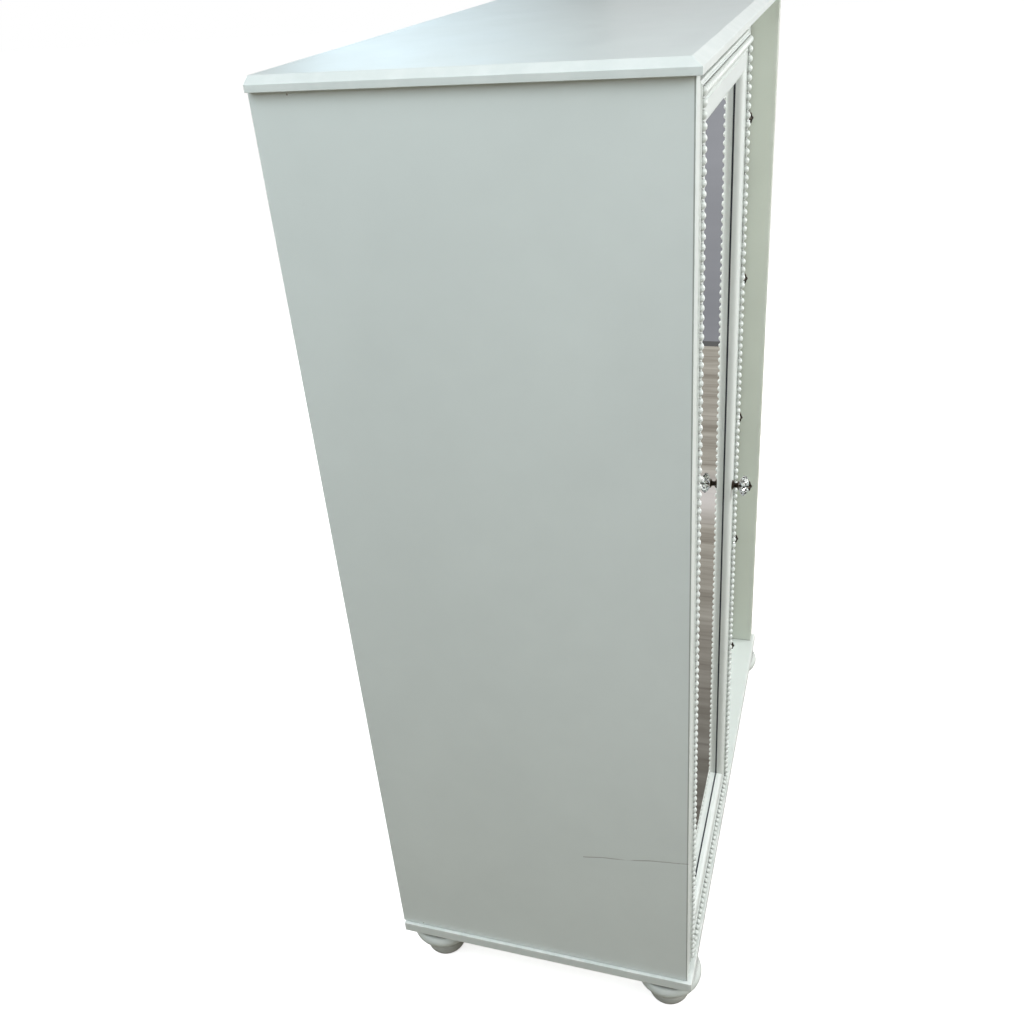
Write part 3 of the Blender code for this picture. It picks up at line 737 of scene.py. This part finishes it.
def crystal_mesh(bm, to_world, petals=8):
    """Faceted head: petals round the girdle, flat facets between staggered rings."""
    bore = 0.0023
    tiers = [(0.0060, 0.0092, 0.0, 0.0), (0.0104, 0.0112, 0.5, 0.06), (0.0142, 0.0146, 0.0, 0.20),
             (0.0131, 0.0170, 0.5, 0.12), (0.0100, 0.0200, 0.0, 0.10), (0.0062, 0.0221, 0.5, 0.0)]
    sides = petals * 2
    rings = []
    for radius, height, twist, depth in tiers:
        ring = []
        for i in range(sides):
            angle = 2 * math.pi * (i + twist) / sides
            reach = radius * (1.0 - depth * (i % 2))
            ring.append(bm.verts.new(to_world(reach * math.cos(angle), reach * math.sin(angle), height)))
        rings.append(ring)
    ends = []
    for height in (0.0221, 0.0092):
        turns = [2 * math.pi * i / sides for i in range(sides)]
        ends.append([bm.verts.new(to_world(bore * math.cos(t), bore * math.sin(t), height)) for t in turns])
    rings += ends
    for index, (lower, upper) in enumerate(zip(rings, rings[1:] + rings[:1])):
        lean = tiers[index][2] < tiers[index + 1][2] if index + 1 < len(tiers) else False
        for i in range(sides):
            j = (i + 1) % sides
            if lean:
                bm.faces.new((lower[i], lower[j], upper[i]))
                bm.faces.new((lower[j], upper[j], upper[i]))
            else:
                bm.faces.new((lower[i], upper[j], upper[i]))
                bm.faces.new((lower[i], lower[j], upper[j]))


# ---- drawers ----
def make_drawer(number, paint, timber, felt):
    """One drawer: painted front, timber box of five boards, felt in its bottom."""
    body = f"drawer_{number}"
    board_piece(f"{body}_front", paint, body, radius=0.0022)
    low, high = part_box(f"{body}_box")
    wall = 0.010
    floor = 0.006
    slack = 0.0001
    bm = bmesh.new()
    flats = []
    sides = (
        ((low.x, low.y, low.z), (low.x + wall, high.y, high.z)),
        ((high.x - wall, low.y, low.z), (high.x, high.y, high.z)),
        ((low.x + wall + slack, low.y, low.z), (high.x - wall - slack, low.y + wall, high.z)),
        ((low.x + wall + slack, high.y - wall, low.z), (high.x - wall - slack, high.y, high.z)),
        ((low.x + wall + slack, low.y + wall + slack, low.z + 0.0002),
         (high.x - wall - slack, high.y - wall - slack, low.z + floor)),
    )
    for corner_low, corner_high in sides:
        flats += round_board(bm, corner_low, corner_high, 0.0009, segments=2)
    mark_edges(bm, flats)
    piece(f"{body}_box_shown", bm, timber, body, (f"{body}_box",))
    inset = wall + 0.0012
    felt_low = low.z + floor + 0.0001
    felt_high = low.z + floor + 0.0018
    bm = bmesh.new()
    round_board(bm, (low.x + inset, low.y + inset, felt_low),
                (high.x - inset, high.y - inset, felt_high), 0.0006, segments=2)
    piece(f"{body}_lining", bm, felt, body)


# ---- inside the cupboard ----
def add_screw(bm, to_world, radius):
    """A pan-head screw with a dished centre."""
    profile = [(0.0, -0.0004), (radius, -0.0002), (radius, 0.0002), (radius * 0.9, 0.0009),
               (radius * 0.55, 0.0013), (radius * 0.34, 0.0013), (radius * 0.22, 0.0006), (0.0, 0.0005)]
    turn(bm, profile, 20, to_world, edge=[0, 0, 1, 1, 0.6, 0.4, 0, 0])


def make_hook_bar(nickel, steel):
    """Bar of knobbed necklace hooks, with a screw near each end."""
    low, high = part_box("necklace_hook_bar")
    bar_thickness = 0.008
    bar_front = high.y - bar_thickness
    bm = bmesh.new()
    flats = round_board(bm, (low.x, bar_front, low.z), high, 0.0016, segments=3)
    mark_edges(bm, flats)
    hooks = 7
    radius = 0.0026
    pitch = (high.x - low.x) / hooks
    hook_drop = 0.0121
    z = high.z - hook_drop
    tip = bar_front - low.y
    profile = ([(0.0, -0.001), (0.0052, -0.001), (0.0052, 0.0008), (0.0044, 0.0016), (radius, 0.0024)]
               + [(radius * 0.86, tip * 0.45), (radius, tip - 0.0075)]
               + arc(0.0, tip - 0.0040, 0.0040, -45, 90, 9)[:-1] + [(0.0, tip)])
    for index in range(hooks):
        x = low.x + pitch * (index + 0.5)
        turn(bm, profile, 24, forward(x, bar_front, z))
    piece("necklace_hook_bar_shown", bm, nickel, "carcass", ("necklace_hook_bar",), smooth=45)
    bm = bmesh.new()
    screw_inset = 0.007
    for x in (low.x + screw_inset, high.x - screw_inset):
        add_screw(bm, forward(x, bar_front, (low.z + high.z) / 2), 0.0026)
    piece("hook_bar_screws", bm, steel, "carcass", smooth=45)


def make_pivots(steel):
    """The two pins that the door turns on, with chamfered ends."""
    chamfer = 0.0005
    for end in ("bottom", "top"):
        pin_low, pin_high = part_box(f"pivot_pin_{end}")
        x, y = (pin_low.x + pin_high.x) / 2, (pin_low.y + pin_high.y) / 2
        pin = pin_high.x - x
        bm = bmesh.new()
        profile = [(0.0, pin_low.z), (pin - chamfer, pin_low.z), (pin, pin_low.z + chamfer),
                   (pin, pin_high.z - chamfer), (pin - chamfer, pin_high.z), (0.0, pin_high.z)]
        turn(bm, profile, 40, upright(x, y))
        piece(f"pivot_pin_{end}_shown", bm, steel, "door", (f"pivot_pin_{end}",), smooth=30)


# ---- the set: floor, light and camera ----
def square(z):
    """Corners of the studio's square at a height."""
    half = STUDIO_HALF
    return [(-half, -half, z), (half, -half, z), (half, half, z), (-half, half, z)]


def stage_sheet(name, corners, look, faces=((0, 1, 2, 3),)):
    """A flat or folded sheet of the set, which isn't part of the object."""
    mesh = bpy.data.meshes.new(name)
    mesh.from_pydata(corners, [], faces)
    mesh.materials.append(look)
    made = bpy.data.objects.new(name, mesh)
    bpy.context.collection.objects.link(made)
    return made


def stage_wall(name, x, across, heights, look):
    """An upright sheet at x, seen only in reflections."""
    (near, far), (bottom, top) = across, heights
    corners = [(x, near, bottom), (x, far, bottom), (x, far, top), (x, near, top)]
    only_seen_by(stage_sheet(name, corners, look), glossy=True)


def glow_look(name, colour, strength):
    """A plain even glow."""
    look = Look(name)
    look.set(Base_Color=(0.0, 0.0, 0.0), Roughness=1.0, Specular_IOR_Level=0.0)
    look.set(Emission_Color=colour, Emission_Strength=strength)
    return look.material


def planks_look():
    """Taupe floor boards, with a painted shadow of the cabinet beside it and a painted streak of daylight
    across them.
    """
    look = Look("room_floor")
    along = look.axis(0)
    board = look.maths("FRACT", look.maths("MULTIPLY", along, 6.5))
    seam = look.remap(look.maths("PINGPONG", board, 0.5), 0.0, 0.03, 1.0, 0.0)
    grain = look.noise(5.0, 5.0, 0.68, where=look.stretch((4.0, 0.30, 1.0)), warp=0.5)
    colour = look.mix(look.remap(grain, 0.32, 0.68), (0.185, 0.165, 0.135), (0.400, 0.380, 0.335))
    colour = look.mix(look.maths("MULTIPLY", seam, 0.5), colour, (0.14, 0.12, 0.10))
    # Painted light: a bright streak of daylight across the boards.
    glare = look.remap(look.maths("ABSOLUTE", look.maths("SUBTRACT", along, 1.06)), 0.03, 0.16, 0.75, 0.0)
    colour = look.mix(glare, colour, (0.55, 0.52, 0.51))
    # Painted shadow: the boards glow less beside the cabinet.
    near = look.remap(along, 0.05, 0.90, 0.46, 1.22)
    look.set(Base_Color=(0.0, 0.0, 0.0), Roughness=0.6, Emission_Color=colour, Emission_Strength=near)
    return look.material


def window_look():
    """Daylight through a net curtain, fading out at both sides."""
    look = Look("room_window")
    across = look.axis(1)
    fade_in = look.remap(across, 0.40, 1.16)
    fade_out = look.remap(across, 1.38, 1.66, 1.0, 0.0)
    weave = look.remap(look.noise(14.0, 2.0), 0.3, 0.7, 0.92, 1.0)
    strength = look.maths("MULTIPLY", look.maths("MULTIPLY", fade_in, fade_out), weave)
    look.set(Base_Color=(0.0, 0.0, 0.0), Roughness=1.0, Specular_IOR_Level=0.0)
    look.set(Emission_Color=(1.22, 1.60, 1.85), Emission_Strength=strength)
    return look.material


def wall_look():
    """Pale wall of the room, a little darker low down and faintly banded."""
    look = Look("room_wall")
    height = look.axis(2)
    bands = look.noise(3.0, 3.0, 0.6, where=look.stretch((0.2, 0.2, 3.0)))
    lit = look.remap(height, 0.0, 0.9, 0.72, 1.0)
    strength = look.maths("MULTIPLY", lit, look.remap(bands, 0.3, 0.7, 0.94, 1.04))
    look.set(Base_Color=(0.0, 0.0, 0.0), Roughness=1.0, Specular_IOR_Level=0.0)
    look.set(Emission_Color=(0.355, 0.362, 0.392), Emission_Strength=strength)
    return look.material


def only_seen_by(thing, camera=False, diffuse=False, glossy=False, shadow=False):
    """Let only the named kinds of ray meet a sheet of the set."""
    thing.visible_camera = camera
    thing.visible_diffuse = diffuse
    thing.visible_glossy = glossy
    thing.visible_transmission = glossy
    thing.visible_shadow = shadow


def studio_floor_look():
    """Pale floor that shows only the object's shadow."""
    look = Look("studio_floor")
    tint = look.mix(look.noise(2.0, 2.0), (0.90, 0.90, 0.895), (0.925, 0.925, 0.92))
    look.set(Base_Color=tint, Roughness=0.85, Specular_IOR_Level=0.0)
    look.set(Emission_Color=tint, Emission_Strength=0.80)
    return look.material


def bounce_look():
    """The room's warm floor, as diffuse light sees it."""
    look = Look("bounce_floor")
    look.set(Base_Color=look.mix(look.noise(2.0, 2.0), (0.46, 0.41, 0.30), (0.52, 0.47, 0.35)))
    look.set(Roughness=0.8)
    return look.material


def make_studio():
    """What the camera sees round the object: a plain pale floor and backdrop."""
    floor = stage_sheet("studio_floor", square(0.0), studio_floor_look())
    only_seen_by(floor, camera=True, shadow=True)
    walls = [(i, (i + 1) % 4, (i + 1) % 4 + 4, i + 4) for i in range(4)]
    white = glow_look("backdrop", (1.0, 1.0, 1.0), 1.0)
    backdrop = stage_sheet("studio_backdrop", square(0.0) + square(STUDIO_HEIGHT), white, walls)
    only_seen_by(backdrop, camera=True)


def make_room():
    """What the paint and the mirror see: a plank floor, a pale wall and a window."""
    bounce = stage_sheet("bounce_floor", square(-0.002), bounce_look())
    only_seen_by(bounce, diffuse=True)
    planks = stage_sheet("room_floor", square(-0.001), planks_look())
    only_seen_by(planks, glossy=True)
    wall_x = 2.10
    run = (-4.0, 4.0)
    dark = glow_look("room_skirting", (0.13, 0.13, 0.13), 1.0)
    stage_wall("room_wall", wall_x, run, (0.0, 3.0), wall_look())
    stage_wall("room_skirting", wall_x - 0.01, run, (0.0, 0.018), dark)
    stage_wall("room_window", wall_x - 0.02, (0.45, 1.66), (0.9, 2.3), window_look())


def area_light(name, place, target, size, power, colour=(1.0, 1.0, 1.0), glossy=True):
    """A soft rectangular light, in watts, aimed at a point."""
    data = bpy.data.lights.new(name, "AREA")
    data.shape = "RECTANGLE"
    data.size, data.size_y = size
    data.energy = power
    data.color = colour
    lamp = bpy.data.objects.new(name, data)
    bpy.context.collection.objects.link(lamp)
    lamp.location = place
    lamp.rotation_euler = (Vector(target) - Vector(place)).to_track_quat("-Z", "Y").to_euler()
    lamp.visible_glossy = glossy


def make_lights():
    """Soft light from the front and upper left, with weak fills for the back and right."""
    world = bpy.data.worlds.new("studio")
    world.use_nodes = True
    background = world.node_tree.nodes["Background"]
    background.inputs["Color"].default_value = (1.0, 0.96, 0.93, 1.0)
    background.inputs["Strength"].default_value = 0.343
    bpy.context.scene.world = world
    aim = (0.0, 0.0, 0.6)
    area_light("front_window", (1.0, -2.5, 1.6), aim, (1.5, 1.2), 48.0)
    area_light("front_lamp", (-0.9, -2.2, 2.2), aim, (1.5, 1.2), 30.0)
    area_light("overhead", (0.1, 0.3, 3.2), (0.1, 0.2, 0.0), (1.6, 1.6), 2.8, (1.0, 0.90, 0.85))
    area_light("left_ceiling", (-1.6, 0.5, 2.3), (-0.3, 0.0, 0.8), (1.6, 1.6), 23.0, (0.815, 0.935, 1.0))
    area_light("back_fill", (0.3, 2.6, 1.1), aim, (1.5, 1.2), 20.0, glossy=False)
    area_light("right_fill", (2.6, 0.5, 1.1), aim, (1.5, 1.2), 20.0, glossy=False)
    bpy.context.scene.view_settings.view_transform = "Standard"


def make_camera():
    """The photograph's viewpoint."""
    data = bpy.data.cameras.new("camera")
    data.lens = LENS
    data.sensor_width = 36.0
    data.clip_start = 0.05
    camera = bpy.data.objects.new("camera", data)
    bpy.context.collection.objects.link(camera)
    camera.location = CAMERA_PLACE
    camera.rotation_euler = Euler([math.radians(angle) for angle in CAMERA_TURN], "XYZ")
    bpy.context.scene.camera = camera


def cabinet_paints():
    """The satin paint by where it is, since each part wears, gathers dust and takes painted shade in its own
    way.
    """
    side_x = PANEL_LOW.x
    side = paint_look(
        "satin_paint_scratched",
        scratches=(((side_x, -0.058, 0.2817), (side_x, -0.190, 0.3020), 0.00090),),
        marks=(((side_x, 0.1857, 0.0830), 0.0012), ((side_x, 0.1756, 1.1940), 0.0012)),
        joint=FRONT + 0.0012)
    # Beads: strong painted shade in the gaps between them.
    beads = paint_look("satin_paint_beads", hollow=0.006, dust_and_shade_colour=(0.12, 0.14, 0.13),
                       dust_and_shade_range=(0.30, 0.80), seam=(0.30, 0.80))
    # Feet: a strong painted shadow line under the base board, and painted shade low down near the floor.
    feet = paint_look("satin_paint_feet", hollow=0.009, dust_and_shade_colour=(0.06, 0.055, 0.05),
                      dust_and_shade_range=(0.76, 0.96), share=(0.55, 0.90), scuff_and_shade_height=0.034)
    frame_members = paint_look("satin_paint_frame", hollow=0.005, dust_and_shade_colour=(0.50, 0.50, 0.46),
                               seam=(0.02, 0.25))
    return {"plain": paint_look("satin_paint"), "side": side, "beads": beads, "feet": feet,
            "frame": frame_members,
            "shaded": paint_look("satin_paint_shaded", tint=(0.665, 0.717, 0.640)),
            # Base board: strongly paler edges, painted highlight along its strip as well as wear.
            "base": paint_look("satin_paint_base", hollow=0.004, rubbed=0.90)}


def make_boards(paints, felt):
    """The cabinet's flat boards and the shelves' liners."""
    board_piece("base_board", paints["base"], "carcass", radius=0.0009)
    board_piece("side_panel_left", paints["side"], "carcass", radius=0.0006)
    board_piece("side_panel_right", paints["shaded"], "carcass", radius=0.0006)
    for board in ("centre_divider", "bay_top_rail", "bay_bottom_rail"):
        board_piece(board, paints["plain"], "carcass", radius=0.0010)
    for shelf in ("shelf_lower", "shelf_upper"):
        board_piece(shelf, paints["plain"], "carcass", radius=0.0018)
    for liner in ("shelf_liner_lower", "shelf_liner_upper"):
        board_piece(liner, felt, "carcass", radius=0.0005)


def keep_plates(steel):
    """The pivot plates and the strike plate keep their CAD meshes and are steel."""
    for node in ("pivot_plate_bottom", "pivot_plate_top", "strike_plate"):
        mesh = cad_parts[node].data
        mesh.materials.clear()
        mesh.materials.append(steel)


def make_drawers(paint, felt, bronze, crystal):
    """Five drawers with their knobs, and the boards that they slide on."""
    timber = timber_look("drawer_timber", (0.66, 0.50, 0.33), (0.50, 0.345, 0.20), (7.0, 0.8, 7.0))
    board = timber_look("dust_board_timber", (0.60, 0.46, 0.31), (0.46, 0.33, 0.20), (0.8, 7.0, 7.0))
    for number in DRAWERS:
        board_piece(f"dust_board_{number}", board, "carcass", radius=0.0006)
        make_drawer(number, paint, timber, felt)
        make_knob(f"drawer_{number}_knob", f"drawer_{number}", bronze, crystal)


def build():
    """Every visible piece of the armoire."""
    paints = cabinet_paints()
    felt = felt_look()
    crystal = crystal_look()
    bronze = metal_look("dark_bronze", (0.022, 0.019, 0.016), (0.11, 0.085, 0.060), 0.34, patina=0.30)
    nickel = metal_look("nickel", (0.42, 0.41, 0.39), (0.72, 0.70, 0.67), 0.26, grain=(0.1, 1.0, 1.0))
    steel = metal_look("steel", (0.36, 0.36, 0.36), (0.62, 0.62, 0.62), 0.34)
    make_top(paints["plain"])
    make_boards(paints, felt)
    make_back(paints["plain"], steel)
    make_feet(paints["feet"])
    make_frame(paints["frame"])
    make_beads(paints["beads"])
    make_mirror(mirror_look(), mirror_edge_shade_look(), hardboard_look())
    make_pivots(steel)
    make_hook_bar(nickel, steel)
    board_piece("magnet_catch", plastic_look(), "carcass", radius=0.0009)
    make_knob("door_knob", "door", bronze, crystal)
    make_drawers(paints["plain"], felt, bronze, crystal)
    keep_plates(steel)


build()
make_studio()
make_room()
make_lights()
make_camera()
